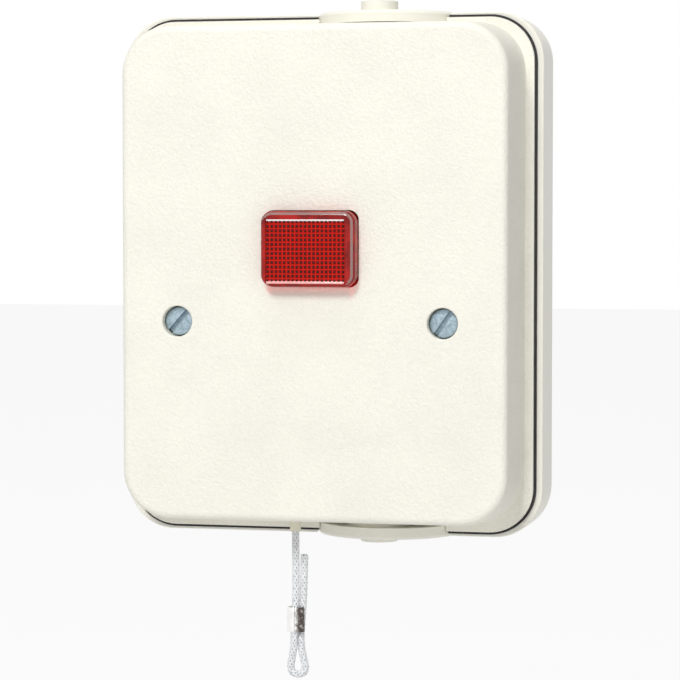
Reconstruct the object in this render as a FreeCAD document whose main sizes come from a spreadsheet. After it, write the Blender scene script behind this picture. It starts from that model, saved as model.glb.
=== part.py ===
import FreeCAD, Part
import math
import os
import Sketcher

# Wall-mounted pull cord switch. +Z is up, the wall is the plane Y = 0 and the front faces -Y.
# The origin is the middle of the back face. All sizes are in millimetres and degrees.

Vector = FreeCAD.Vector
Rotation = FreeCAD.Rotation
Placement = FreeCAD.Placement

doc = FreeCAD.newDocument("pull_cord_switch")
sheet = doc.addObject("Spreadsheet::Sheet", "sizes")

SIZES = {
    # base box
    "base_width": 96.6,
    "base_height": 117.2,
    "base_corner": 10.8,
    "base_depth": 12.9,
    "base_wall": 3.4,
    "base_back": 2.6,
    "rim_round": 0.3,
    "rim_show": 1.35,
    "rim_show_high": 0.65,
    # seal between base and cover
    "seal_thick": 0.64,
    "seal_show": 0.57,
    # front cover
    "cover_front": 32.2,
    "cover_corner": 10.7,
    "cover_edge": 1.6,
    "skirt_lean": 0.95,
    "cover_wall": 2.4,
    "flange_step": 1.93,
    "flange_step_top": 1.13,
    "flange_step_low": 2.33,
    "flange_thick": 0.9,
    "flange_corner": 9.98,
    "spigot_deep": 2.2,
    "spigot_wall": 1.5,
    "spigot_gap": 0.3,
    # cover screws
    "screw_spacing": 60.0,
    "screw_middle": -0.68,
    "screw_height": -10.1,
    "screw_recess_radius": 3.4,
    "screw_recess_deep": 4.6,
    "recess_edge": 0.35,
    "screw_boss_radius": 5.2,
    "screw_head_radius": 3.1,
    "screw_head_high": 2.2,
    "screw_slot_wide": 1.1,
    "screw_slot_deep": 1.1,
    "screw_radius": 1.75,
    "screw_long": 22.0,
    "screw_gap": 0.2,
    "washer_thick": 0.6,
    "insert_radius": 2.6,
    "insert_long": 8.0,
    "thread_fit": 0.02,
    "post_radius": 4.6,
    # indicator lens
    "lens_width": 21.2,
    "lens_height": 16.6,
    "lens_middle": 6.1,
    "lens_proud": 3.8,
    "lens_corner": 2.0,
    "lens_edge": 1.2,
    "lens_wall": 1.6,
    "lens_foot": 1.9,
    "lens_foot_thick": 1.4,
    "window_gap": 0.15,
    "clip_width": 32.0,
    "clip_thick": 0.5,
    "peg_radius": 1.0,
    "peg_long": 2.6,
    # cable entries
    "entry_across": 11.2,
    "disc_across": 12.1,
    "disc_radius": 16.4,
    "disc_thick": 1.9,
    "disc_apron": 0.7,
    "entry_proud": 0.15,
    "entry_edge": 0.6,
    "entry_neck_radius": 7.5,
    "entry_inner_radius": 9.0,
    "entry_inner_face": 50.4,
    "entry_inner_thick": 1.2,
    "entry_gap": 0.2,
    "entry_web": 0.8,
    "nipple_radius": 4.15,
    "nipple_long": 2.4,
    "low_nipple_long": 1.2,
    "nipple_wall": 1.0,
    # pull cord, crimp and bush
    "cord_across": -6.7,
    "cord_front": 20.0,
    "cord_radius": 0.88,
    "cord_travel": 8.25,
    "bush_bore": 0.98,
    "bush_radius": 1.25,
    "bush_foot_radius": 2.7,
    "bush_foot_thick": 1.2,
    "bush_foot_face": 50.6,
    "bush_tip": 57.6,
    "crimp_middle": -77.6,
    "crimp_wide": 3.96,
    "crimp_thick": 3.3,
    "crimp_long": 5.6,
    "crimp_wall": 0.27,
    "crimp_behind": 0.35,
    "knot_radius": 2.3,
    "knot_rise": 6.7,
    # switch block
    "block_beyond_pivot": 5.2,
    "block_to_cord": 2.9,
    "block_above_pivot": 8.5,
    "block_below_pivot": 24.0,
    "block_front": 24.0,
    "block_back": 9.5,
    "block_wall": 1.6,
    "block_floor": 1.8,
    "plate_thick": 1.5,
    "plate_below_pivot": 14.0,
    "pillar_radius": 3.2,
    "block_screw_radius": 1.45,
    "block_screw_head": 2.6,
    "block_screw_long": 8.6,
    # lever
    "lever_reach": 28.0,
    "pivot_height": -24.0,
    "lever_thick": 4.0,
    "lever_half": 2.0,
    "lever_gap": 0.3,
    "hub_radius": 3.2,
    "pin_radius": 1.5,
    "pin_play": 0.05,
    "nose_reach": 10.2,
    "nose_radius": 2.7,
    "eye_long": 4.0,
    "eye_wide": 2.6,
    "eye_half": 3.0,
    "eye_end": 2.9,
    # contacts
    "slider_gap": 0.1,
    "slider_pad": 6.0,
    "slider_pad_thick": 1.8,
    "slider_stem": 4.0,
    "guide_below_pivot": 6.6,
    "guide_thick": 1.2,
    "guide_play": 0.15,
    "carriage_below_pivot": 8.1,
    "carriage_wide": 6.0,
    "window_high": 2.9,
    "window_wide": 3.2,
    "carriage_foot": 1.8,
    "tail_radius": 1.5,
    "tail_long": 5.6,
    "bridge_long": 12.3,
    "bridge_wide": 3.0,
    "strip_thick": 0.8,
    "tip_radius": 1.2,
    "tip_high": 0.6,
    "tip_spacing": 10.0,
    "tip_gap": 0.05,
    "return_coil": 2.35,
    "return_wire": 0.4,
    "return_turns": 7.0,
    "contact_coil": 1.15,
    "contact_wire": 0.3,
    "contact_turns": 3.0,
    # terminals
    "terminal_wide": 5.6,
    "terminal_front": 23.5,
    "terminal_back": 15.5,
    "terminal_bore": 1.1,
    "terminal_screw": 1.25,
    "terminal_head": 2.1,
    "terminal_screw_long": 5.0,
    # lamp
    "socket_foot_wide": 24.6,
    "socket_foot_high": 11.0,
    "socket_foot_thick": 2.0,
    "socket_radius": 6.4,
    "socket_front": 17.0,
    "socket_back": 6.0,
    "socket_screw_spacing": 18.8,
    "cap_radius": 4.9,
    "cap_long": 8.0,
    "bulb_radius": 5.0,
    "bulb_front": 29.5,
    "lead_radius": 0.8,
    # wall fixing
    "fixing_spacing": 80.0,
    "fixing_radius": 2.3,
    "fixing_pad_radius": 5.0,
    "fixing_pad_high": 1.2,
}


class Size:
    """A number together with the sheet expression that it came from."""

    def __init__(self, value, text):
        self.value = value
        self.text = text

    def combine(self, other, sign, value):
        return Size(value, f"({self.text} {sign} {as_size(other).text})")

    def __add__(self, other):
        return self.combine(other, "+", self.value + as_size(other).value)

    def __sub__(self, other):
        return self.combine(other, "-", self.value - as_size(other).value)

    def __mul__(self, other):
        return self.combine(other, "*", self.value * as_size(other).value)

    def __truediv__(self, other):
        return self.combine(other, "/", self.value / as_size(other).value)

    def __neg__(self):
        return Size(-self.value, f"(0 - {self.text})")

    def __radd__(self, other):
        return as_size(other) + self

    def __rmul__(self, other):
        return as_size(other) * self

    def __rsub__(self, other):
        return as_size(other) - self


def as_size(number):
    return number if isinstance(number, Size) else Size(float(number), repr(float(number)))


def angle_of_sine(ratio):
    return Size(math.degrees(math.asin(ratio.value)), f"asin({ratio.text})")


class Sizes:
    """The driving sizes by name, each one bound to its cell of the sheet."""


size = Sizes()
for row, (alias, number) in enumerate(SIZES.items(), 1):
    sheet.set(f"A{row}", alias)
    sheet.set(f"B{row}", str(number))
    sheet.setAlias(f"B{row}", alias)
    setattr(size, alias, Size(number, f"sizes.{alias}"))
doc.recompute()


# ---- shared building steps --------------------------------------------------------------------

def bind(thing, place, number):
    """Give a property its value by an expression on the sheet."""
    thing.setExpression(place, as_size(number).text)


def put(thing, x, y, z):
    for letter, number in zip("xyz", (x, y, z)):
        bind(thing, f"Placement.Base.{letter}", number)


def box(name, x, y, z):
    """A block between two planes on each axis."""
    made = doc.addObject("Part::Box", name)
    put(made, x[0], y[0], z[0])
    bind(made, "Length", as_size(x[1]) - x[0])
    bind(made, "Width", as_size(y[1]) - y[0])
    bind(made, "Height", as_size(z[1]) - z[0])
    return made


TURN = {
    "X": Rotation(Vector(0, 1, 0), 90),
    "Y": Rotation(Vector(1, 0, 0), -90),
    "Z": Rotation(),
}


def rod(name, axis, at, radius, span):
    """A cylinder along an axis: `at` is its centre on the two other axes, span its two ends."""
    made = doc.addObject("Part::Cylinder", name)
    stand(made, axis, at, span)
    bind(made, "Radius", radius)
    return made


def cone(name, axis, at, low_radius, high_radius, span):
    made = doc.addObject("Part::Cone", name)
    stand(made, axis, at, span)
    bind(made, "Radius1", low_radius)
    bind(made, "Radius2", high_radius)
    return made


def stand(made, axis, at, span):
    """Set a round solid's axis, place and length."""
    made.Placement = Placement(Vector(), TURN[axis])
    low, high = span
    ends = {"X": (low, at[0], at[1]), "Y": (at[0], low, at[1]), "Z": (at[0], at[1], low)}
    put(made, *ends[axis])
    bind(made, "Height", as_size(high) - low)


def fuse(name, *pieces):
    made = doc.addObject("Part::MultiFuse", name)
    made.Shapes = list(pieces)
    made.Refine = True
    return made


def cut(name, base, *tools):
    made = doc.addObject("Part::Cut", name)
    made.Base = base
    made.Tool = tools[0] if len(tools) == 1 else fuse(f"{name}_tools", *tools)
    made.Refine = True
    return made


def new_body(name):
    return doc.addObject("PartDesign::Body", name)


def front_sketch(body, name, out):
    """A sketch parallel to the wall, `out` in front of it. Its X is X and its Y is Z."""
    made = body.newObject("Sketcher::SketchObject", name)
    plane = [feature for feature in body.Origin.OriginFeatures if feature.Role == "XZ_Plane"][0]
    made.AttachmentSupport = [(plane, "")]
    made.MapMode = "FlatFace"
    bind(made, "AttachmentOffset.Base.z", out)
    return made


def fix_distance(sketch, kind, first, second, number):
    index = sketch.addConstraint(Sketcher.Constraint(kind, *first, *second, as_size(number).value))
    sketch.setExpression(f"Constraints[{index}]", as_size(number).text)


def rounded_rectangle(sketch, width, height, corner, across=0.0, up=0.0):
    """A rectangle with equal round corners about the point (across, up)."""
    width, height, corner = as_size(width), as_size(height), as_size(corner)
    right, top = width / 2 + across, height / 2 + up
    left, bottom = right - width, top - height
    x0, x1, z0, z1 = left.value, right.value, bottom.value, top.value
    r = corner.value
    first = sketch.GeometryCount
    starts = [(x0 + r, z0), (x1, z0 + r), (x1 - r, z1), (x0, z1 - r)]
    stops = [(x1 - r, z0), (x1, z1 - r), (x0 + r, z1), (x0, z0 + r)]
    middles = [(x1 - r, z0 + r), (x1 - r, z1 - r), (x0 + r, z1 - r), (x0 + r, z0 + r)]
    for side in range(4):
        line = Part.LineSegment(Vector(*starts[side], 0), Vector(*stops[side], 0))
        sketch.addGeometry(line, False)
        circle = Part.Circle(Vector(*middles[side], 0), Vector(0, 0, 1), r)
        begin = math.radians(90 * side - 90)
        sketch.addGeometry(Part.ArcOfCircle(circle, begin, begin + math.pi / 2), False)
    for side in range(4):
        line, arc = first + 2 * side, first + 2 * side + 1
        following = first + (2 * side + 2) % 8
        sketch.addConstraint(Sketcher.Constraint("Tangent", line, 2, arc, 1))
        sketch.addConstraint(Sketcher.Constraint("Tangent", arc, 2, following, 1))
        kind = "Horizontal" if side % 2 == 0 else "Vertical"
        sketch.addConstraint(Sketcher.Constraint(kind, line))
        if side:
            sketch.addConstraint(Sketcher.Constraint("Equal", first + 1, arc))
    radius = sketch.addConstraint(Sketcher.Constraint("Radius", first + 1, r))
    sketch.setExpression(f"Constraints[{radius}]", corner.text)
    fix_distance(sketch, "DistanceX", (first + 6, 1), (first + 2, 1), width)
    fix_distance(sketch, "DistanceY", (first, 1), (first + 4, 1), height)
    fix_distance(sketch, "DistanceX", (-1, 1), (first + 2, 1), right)
    fix_distance(sketch, "DistanceY", (-1, 1), (first + 4, 1), top)


def circle_at(sketch, across, up, radius):
    radius = as_size(radius)
    centre = Vector(as_size(across).value, as_size(up).value, 0)
    index = sketch.addGeometry(Part.Circle(centre, Vector(0, 0, 1), radius.value), False)
    held = sketch.addConstraint(Sketcher.Constraint("Radius", index, radius.value))
    sketch.setExpression(f"Constraints[{held}]", radius.text)
    fix_distance(sketch, "DistanceX", (-1, 1), (index, 3), across)
    fix_distance(sketch, "DistanceY", (-1, 1), (index, 3), up)


def pad(body, sketch, length, name):
    """Grow a sketch from its plane towards the front."""
    made = body.newObject("PartDesign::Pad", name)
    made.Profile = sketch
    bind(made, "Length", length)
    return made


def pocket(body, sketch, length, name):
    """Cut a sketch from its plane back towards the wall."""
    made = body.newObject("PartDesign::Pocket", name)
    made.Profile = sketch
    bind(made, "Length", length)
    return made


def loft(body, kind, back, front, name):
    made = body.newObject(kind, name)
    made.Profile = back
    made.Sections = [front]
    return made


def edges_on(feature, out, smallest=0.0):
    """Names of the edges that lie in the plane `out` in front of the wall."""
    names = []
    for number, edge in enumerate(feature.Shape.Edges, 1):
        box_of = edge.BoundBox
        level = abs(box_of.YMin + out.value) < 1e-4 and abs(box_of.YMax + out.value) < 1e-4
        far = max(abs(box_of.XMin), abs(box_of.XMax), abs(box_of.ZMin), abs(box_of.ZMax))
        if level and far > smallest:
            names.append(f"Edge{number}")
    return names


def fillet(body, feature, edges, radius, name):
    made = body.newObject("PartDesign::Fillet", name)
    made.Base = (feature, edges)
    bind(made, "Radius", radius)
    return made


parts = {}


def finish(thing, label):
    """Name a finished sub-part: the label is also the name of its file."""
    thing.Label = label
    parts[label] = thing
    return thing


# ---- places that several pieces share ---------------------------------------------------------

seal_front = size.base_depth + size.seal_thick
flange_width = size.base_width - 2 * (size.rim_show + size.seal_show)
flange_height = size.base_height - 2 * (size.rim_show_high + size.seal_show)
cover_width = flange_width - 2 * (size.skirt_lean + size.flange_step)
cover_steps = size.flange_step_top + size.flange_step_low
cover_height = flange_height - 2 * size.skirt_lean - cover_steps
cover_middle = (0, (size.flange_step_low - size.flange_step_top) / 2)
skirt_back = seal_front + size.flange_thick
plate_back = size.cover_front - size.cover_wall
screw_places = [size.screw_middle + side * size.screw_spacing / 2 for side in (-1, 1)]
recess_floor = size.cover_front - size.screw_recess_deep
screw_end = recess_floor - size.screw_long
entry_face = size.base_height / 2 + size.entry_proud
entry_inside = entry_face - size.disc_thick
apron_inside = entry_inside - size.disc_apron
entry_middle = seal_front
disc_at = (size.disc_across, -size.base_depth / 2)
cord_y = -size.cord_front
pivot_x = size.cord_across - size.lever_reach
nose_x = pivot_x + size.nose_reach
block_left = pivot_x - size.block_beyond_pivot
block_right = size.cord_across - size.block_to_cord
block_top = size.pivot_height + size.block_above_pivot
block_bottom = size.pivot_height - size.block_below_pivot
guide_top = size.pivot_height - size.guide_below_pivot
carriage_top = size.pivot_height - size.carriage_below_pivot
knot_face = size.pivot_height + size.knot_rise
lever_slope = size.cord_travel / (2 * size.lever_reach)
nose_low = size.pivot_height + size.nose_reach * lever_slope - size.nose_radius
slider_top = nose_low - size.slider_gap
slider_travel = 2 * size.nose_reach * lever_slope
window_low = carriage_top - size.window_high
carriage_low = window_low - size.carriage_foot
tip_low = window_low - size.tip_high
fixed_tip_top = tip_low - slider_travel - size.tip_gap
fixed_strip_top = fixed_tip_top - size.tip_high
fixed_strip_low = fixed_strip_top - size.strip_thick
spring_floor = block_bottom + size.block_wall
chamber_left = block_left + size.block_wall
chamber_right = block_right - size.block_wall
chamber_back = -(size.block_back + size.block_floor)
block_screws = [
    (pivot_x + 7.5, size.pivot_height + 3.9),
    (block_right - 5.4, size.pivot_height - 6.0),
]
both = (1, -1)
lens_foot_back = plate_back - size.lens_foot_thick
lens_front = size.cover_front + size.lens_proud
peg_end = plate_back - size.peg_long
peg_places = [-(size.clip_width / 2 - 2.0), size.clip_width / 2 - 2.0]
pin_back = chamber_back - 0.6
terminal_room = size.terminal_wide + 0.2
terminal_places = [
    chamber_left + 0.1 + size.terminal_wide / 2,
    chamber_right - 0.1 - size.terminal_wide / 2,
]
terminal_y = -(size.terminal_front + size.terminal_back) / 2
socket_screws = [-size.socket_screw_spacing / 2, size.socket_screw_spacing / 2]

# How far each cover screw's slot stands turned about its axis.
COVER_SLOT_TURNS = (-48, -55)


def mirrored(side, low, high):
    """A span above the middle, or the same span below it."""
    return (low, high) if side > 0 else (-as_size(high), -as_size(low))


# ---- casing -----------------------------------------------------------------------------------

def entry_rooms(owner, seat_floor):
    """What the two cable entries take out of a wall: the disc's seat and the neck's hole."""
    outside = entry_face + 4.0
    inside = size.entry_inner_face
    seat = size.disc_radius + size.entry_gap
    neck = size.entry_neck_radius + size.entry_gap
    neck_at = (size.entry_across, -entry_middle)
    rooms = []
    for side in both:
        word = f"{owner}_{'top' if side > 0 else 'bottom'}"
        rooms.append(rod(f"{word}_seat", "Z", disc_at, seat, mirrored(side, seat_floor, outside)))
        rooms.append(rod(f"{word}_hole", "Z", neck_at, neck, mirrored(side, inside, outside)))
    return rooms


def make_base():
    body = new_body("base_body")
    outline = front_sketch(body, "base_outline", 0)
    rounded_rectangle(outline, size.base_width, size.base_height, size.base_corner)
    tray = pad(body, outline, size.base_depth, "base_block")
    doc.recompute()
    fillet(body, tray, edges_on(tray, size.base_depth), size.rim_round, "base_rim_round")
    hollow = front_sketch(body, "base_hollow_outline", size.base_depth)
    inner = [length - 2 * size.base_wall for length in (size.base_width, size.base_height)]
    rounded_rectangle(hollow, *inner, size.base_corner - size.base_wall)
    pocket(body, hollow, size.base_depth - size.base_back, "base_hollow")
    posts = front_sketch(body, "post_circles", 0)
    bores = front_sketch(body, "insert_circles", seal_front)
    tails = front_sketch(body, "screw_tail_circles", seal_front)
    for across in screw_places:
        circle_at(posts, across, size.screw_height, size.post_radius)
        circle_at(bores, across, size.screw_height, size.insert_radius + size.thread_fit)
        circle_at(tails, across, size.screw_height, size.screw_radius + size.screw_gap)
    pad(body, posts, seal_front, "cover_screw_posts")
    pocket(body, bores, size.insert_long, "insert_bores")
    pocket(body, tails, seal_front - size.base_back, "screw_tail_bores")
    pillars = front_sketch(body, "pillar_circles", 0)
    pilots = front_sketch(body, "pilot_circles", size.block_back)
    for across, up in block_screws:
        circle_at(pillars, across, up, size.pillar_radius)
        circle_at(pilots, across, up, size.block_screw_radius + size.thread_fit)
    pad(body, pillars, size.block_back, "block_pillars")
    pocket(body, pilots, size.block_back - size.base_back, "pillar_pilots")
    lugs = front_sketch(body, "socket_lug_circles", 0)
    lug_bores = front_sketch(body, "socket_lug_bores", size.socket_back)
    for across in socket_screws:
        circle_at(lugs, across, size.lens_middle, size.pillar_radius - 0.4)
        circle_at(lug_bores, across, size.lens_middle, size.block_screw_radius + size.thread_fit)
    pad(body, lugs, size.socket_back, "socket_lugs")
    pocket(body, lug_bores, size.socket_back - size.base_back / 2, "socket_lug_holes")
    pads = front_sketch(body, "fixing_pad_circles", 0)
    holes = front_sketch(body, "fixing_hole_circles", size.base_back + size.fixing_pad_high)
    for side in both:
        circle_at(pads, 0, side * size.fixing_spacing / 2, size.fixing_pad_radius)
        circle_at(holes, 0, side * size.fixing_spacing / 2, size.fixing_radius)
    pad(body, pads, size.base_back + size.fixing_pad_high, "fixing_pads")
    pocket(body, holes, size.base_back + size.fixing_pad_high, "fixing_holes")
    finish(cut("base", body, *entry_rooms("base", entry_inside)), "base_box")


def make_seal():
    body = new_body("seal_body")
    ring = front_sketch(body, "seal_outline", size.base_depth)
    outer = [length + 2 * size.seal_show for length in (flange_width, flange_height)]
    inner = [length - 2 * size.base_wall for length in (size.base_width, size.base_height)]
    rounded_rectangle(ring, *outer, size.flange_corner + size.seal_show)
    rounded_rectangle(ring, *inner, size.base_corner - size.base_wall)
    pad(body, ring, size.seal_thick, "seal_ring")
    finish(cut("seal", body, *entry_rooms("seal", apron_inside)), "cover_seal")


def make_cover():
    body = new_body("cover_body")
    lean = 2 * size.skirt_lean
    skirt = front_sketch(body, "skirt_back_outline", seal_front)
    skirt_outline = (cover_width + lean, cover_height + lean, size.cover_corner)
    rounded_rectangle(skirt, *skirt_outline, *cover_middle)
    front = front_sketch(body, "cover_front_outline", size.cover_front)
    rounded_rectangle(front, cover_width, cover_height, size.cover_corner, *cover_middle)
    shell = loft(body, "PartDesign::AdditiveLoft", skirt, front, "cover_block")
    doc.recompute()
    fillet(body, shell, edges_on(shell, size.cover_front), size.cover_edge, "cover_edge_round")
    rim = front_sketch(body, "flange_outline", seal_front)
    rounded_rectangle(rim, flange_width, flange_height, size.flange_corner)
    pad(body, rim, size.flange_thick, "flange")
    wall = 2 * size.cover_wall
    corner = size.cover_corner - size.cover_wall
    hollow_back = front_sketch(body, "hollow_back_outline", seal_front)
    hollow_outline = (cover_width + lean - wall, cover_height + lean - wall, corner)
    rounded_rectangle(hollow_back, *hollow_outline, *cover_middle)
    hollow_front = front_sketch(body, "hollow_front_outline", plate_back)
    hollow_outline = (cover_width - wall, cover_height - wall, corner)
    rounded_rectangle(hollow_front, *hollow_outline, *cover_middle)
    loft(body, "PartDesign::SubtractiveLoft", hollow_back, hollow_front, "cover_hollow")
    spigot = front_sketch(body, "spigot_outline", seal_front - size.spigot_deep)
    reach = 2 * (size.base_wall + size.spigot_gap)
    outer = [length - reach for length in (size.base_width, size.base_height)]
    round_off = size.base_corner - size.base_wall - size.spigot_gap
    rounded_rectangle(spigot, *outer, round_off)
    inner = [length - 2 * size.spigot_wall for length in outer]
    rounded_rectangle(spigot, *inner, round_off - size.spigot_wall)
    pad(body, spigot, size.spigot_deep, "spigot")
    bosses = front_sketch(body, "boss_circles", seal_front)
    recesses = front_sketch(body, "recess_circles", size.cover_front)
    bores = front_sketch(body, "screw_bore_circles", recess_floor)
    for across in screw_places:
        circle_at(bosses, across, size.screw_height, size.screw_boss_radius)
        circle_at(recesses, across, size.screw_height, size.screw_recess_radius)
        circle_at(bores, across, size.screw_height, size.screw_radius + size.screw_gap)
    pad(body, bosses, plate_back - seal_front, "screw_bosses")
    recess = pocket(body, recesses, size.screw_recess_deep, "screw_recesses")
    doc.recompute()
    rims = [edge for edge in edges_on(recess, size.cover_front) if is_small(recess, edge)]
    fillet(body, recess, rims, size.recess_edge, "recess_edge_round")
    pocket(body, bores, recess_floor - seal_front, "screw_bores")
    window = front_sketch(body, "window_outline", size.cover_front)
    play = 2 * size.window_gap
    corner = size.lens_corner + size.window_gap
    rounded_rectangle(
        window, size.lens_width + play, size.lens_height + play, corner, 0, size.lens_middle
    )
    pocket(body, window, size.cover_wall, "lens_window")
    pegs = front_sketch(body, "peg_circles", peg_end)
    for across in peg_places:
        circle_at(pegs, across, size.lens_middle, size.peg_radius)
    pad(body, pegs, plate_back - peg_end, "clip_pegs")
    hole = rod(
        "bush_hole", "Z", (size.cord_across, cord_y), size.bush_radius + size.thread_fit,
        (-flange_height / 2 - 1.0, -size.bush_foot_face),
    )
    finish(cut("cover", body, hole, *entry_rooms("cover", apron_inside)), "front_cover")


def is_small(feature, edge_name):
    """True for an edge of a screw recess, not of the cover's outline."""
    return feature.Shape.getElement(edge_name).BoundBox.XLength < 3 * size.screw_recess_radius.value


def make_grommet(side, nipple_long, label):
    neck_at = (size.entry_across, -entry_middle)
    reach = 3 * size.disc_radius

    def ring(name, at, radius, low, high):
        return rod(f"{label}_{name}", "Z", at, radius, mirrored(side, low, high))

    def half_space(name, y, low, high):
        across = (size.disc_across - reach, size.disc_across + reach)
        return box(f"{label}_{name}", across, y, mirrored(side, low, high))

    shoulder = entry_face - size.entry_edge
    neck_end = size.entry_inner_face + size.entry_inner_thick
    wide, narrow = size.disc_radius, size.disc_radius - size.entry_edge
    radii = (wide, narrow) if side > 0 else (narrow, wide)
    rim = cone(f"{label}_rim", "Z", disc_at, *radii, mirrored(side, shoulder, entry_face))
    tip = entry_face + nipple_long
    apron = cut(
        f"{label}_apron_half",
        ring("apron", disc_at, size.disc_radius, apron_inside, entry_inside),
        half_space("apron_back", (-seal_front, reach), apron_inside - 1.0, entry_inside + 1.0),
    )
    outside = fuse(
        f"{label}_outside",
        ring("disc", disc_at, size.disc_radius, entry_inside, shoulder),
        rim,
        apron,
        ring("nipple", neck_at, size.nipple_radius, entry_face, tip),
        ring("neck", neck_at, size.entry_neck_radius, neck_end, entry_inside),
        ring("inner_flange", neck_at, size.entry_inner_radius, size.entry_inner_face, neck_end),
    )
    hollow = size.entry_neck_radius - size.nipple_wall
    bore = size.nipple_radius - size.nipple_wall
    floor = size.entry_inner_face
    made = cut(
        label,
        outside,
        ring("hollow", neck_at, hollow, floor, entry_face - size.entry_web),
        ring("bore", neck_at, bore, floor, tip - size.entry_web),
        half_space("behind", (-size.entry_gap, reach), floor - 1.0, tip + 1.0),
    )
    finish(made, label)


def make_lens():
    body = new_body("lens_body")
    foot = front_sketch(body, "lens_foot_outline", lens_foot_back)
    spread = 2 * size.lens_foot
    rounded_rectangle(
        foot, size.lens_width + spread, size.lens_height + spread, size.lens_corner, 0, size.lens_middle
    )
    pad(body, foot, size.lens_foot_thick, "lens_foot")
    face = front_sketch(body, "lens_outline", lens_foot_back)
    rounded_rectangle(
        face, size.lens_width, size.lens_height, size.lens_corner, 0, size.lens_middle
    )
    block = pad(body, face, lens_front - lens_foot_back, "lens_block")
    doc.recompute()
    fillet(body, block, edges_on(block, lens_front), size.lens_edge, "lens_edge_round")
    half_wide = size.lens_width / 2 - size.lens_wall
    half_high = size.lens_height / 2 - size.lens_wall
    hollow = box(
        "lens_hollow",
        (-half_wide, half_wide),
        (-(lens_front - size.lens_wall), -lens_foot_back + 1.0),
        (size.lens_middle - half_high, size.lens_middle + half_high),
    )
    finish(cut("lens", body, hollow), "indicator_lens")


def make_lens_clip():
    half = size.clip_width / 2
    y = (-lens_foot_back, -(lens_foot_back - size.clip_thick))
    high = size.lens_height / 2 - size.lens_wall
    plate = box("clip_plate", (-half, half), y, (size.lens_middle - high, size.lens_middle + high))
    room = size.bulb_radius + 0.6
    opening = rod("clip_opening", "Y", (0, size.lens_middle), room, (y[0] - 1.0, y[1] + 1.0))
    holes = []
    for number, across in enumerate(peg_places, 1):
        radius = size.peg_radius + size.thread_fit
        at = (across, size.lens_middle)
        holes.append(rod(f"clip_hole_{number}", "Y", at, radius, (y[0] - 1.0, y[1] + 1.0)))
    finish(cut("clip", plate, opening, *holes), "lens_clip")


# ---- fasteners --------------------------------------------------------------------------------

def slotted_screw(name, head_radius, head_high, radius, long, slot_wide, slot_deep, at, turn):
    """A slotted screw with its axis along Y: `at` is the middle of the face under its head."""
    head = rod(f"{name}_head", "Y", (0, 0), head_radius, (-as_size(head_high), 0))
    shank = rod(f"{name}_shank", "Y", (0, 0), radius, (0, long))
    slot = box(
        f"{name}_slot",
        (-2 * as_size(head_radius), 2 * as_size(head_radius)),
        (-as_size(head_high) - 1.0, as_size(slot_deep) - head_high),
        (-as_size(slot_wide) / 2, as_size(slot_wide) / 2),
    )
    made = cut(name, fuse(f"{name}_solid", head, shank), slot)
    made.Placement = Placement(Vector(), Rotation(Vector(0, 1, 0), turn))
    put(made, *at)
    return made


def group(name, label, pieces):
    made = doc.addObject("Part::Compound", name)
    made.Links = pieces
    finish(made, label)


def make_cover_fasteners():
    under_head = recess_floor + size.washer_thick
    screws, washers, inserts = [], [], []
    for number, (across, turn) in enumerate(zip(screw_places, COVER_SLOT_TURNS), 1):
        screws.append(slotted_screw(
            f"cover_screw_{number}", size.screw_head_radius, size.screw_head_high,
            size.screw_radius, size.screw_long, size.screw_slot_wide, size.screw_slot_deep,
            (across, -under_head, size.screw_height), turn,
        ))
        at = (across, size.screw_height)
        span = (-under_head, -recess_floor)
        ring = rod(f"washer_{number}", "Y", at, size.screw_recess_radius - size.screw_gap, span)
        hole = rod(f"washer_hole_{number}", "Y", at, size.screw_radius + size.thread_fit, span)
        washers.append(cut(f"sealing_washer_{number}", ring, hole))
        span = (-seal_front, -(seal_front - size.insert_long))
        sleeve = rod(f"insert_sleeve_{number}", "Y", at, size.insert_radius, span)
        thread = rod(f"insert_bore_{number}", "Y", at, size.screw_radius + size.thread_fit, span)
        inserts.append(cut(f"insert_{number}", sleeve, thread))
    group("cover_screw_group", "cover_screws", screws)
    group("washer_group", "sealing_washers", washers)
    group("insert_group", "threaded_inserts", inserts)


# ---- pull cord --------------------------------------------------------------------------------

# The route's points: down from the knot through the bush, round the loop and back up through the
# crimp to the cut tail.
CORD_ROUTE = [
    (-6.70, -20.0, -17.3),
    (-6.77, -20.0, -39.9),
    (-6.62, -20.0, -62.6),
    (-6.62, -20.0, -73.4),
    (-6.95, -20.3, -80.8),
    (-7.00, -20.3, -84.2),
    (-8.25, -20.1, -90.0),
    (-3.95, -19.7, -90.0),
    (-5.65, -19.1, -84.2),
    (-5.70, -19.1, -80.8),
    (-5.10, -19.1, -73.4),
    (-4.92, -19.1, -68.0),
    (-4.80, -19.1, -63.0),
]


def rounded_path(points, share=0.45):
    """Straight runs joined by tangent arcs, as one wire. Prints each arc's radius."""
    points = [Vector(*point) for point in points]
    edges = []
    radii = []
    start = points[0]
    for before, corner, after in zip(points, points[1:], points[2:]):
        back = before - corner
        ahead = after - corner
        reach = share * min(back.Length, ahead.Length)
        turn = math.pi - back.getAngle(ahead)
        back.normalize()
        ahead.normalize()
        radius = reach / math.tan(turn / 2)
        first = corner + back * reach
        last = corner + ahead * reach
        bisector = back + ahead
        bisector.normalize()
        middle = corner + bisector * (radius / math.cos(turn / 2) - radius)
        edges.append(Part.LineSegment(start, first).toShape())
        edges.append(Part.Arc(first, middle, last).toShape())
        radii.append(radius)
        start = last
    edges.append(Part.LineSegment(start, points[-1]).toShape())
    print("radii", [round(radius, 2) for radius in radii])
    return Part.Wire(edges)


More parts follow.
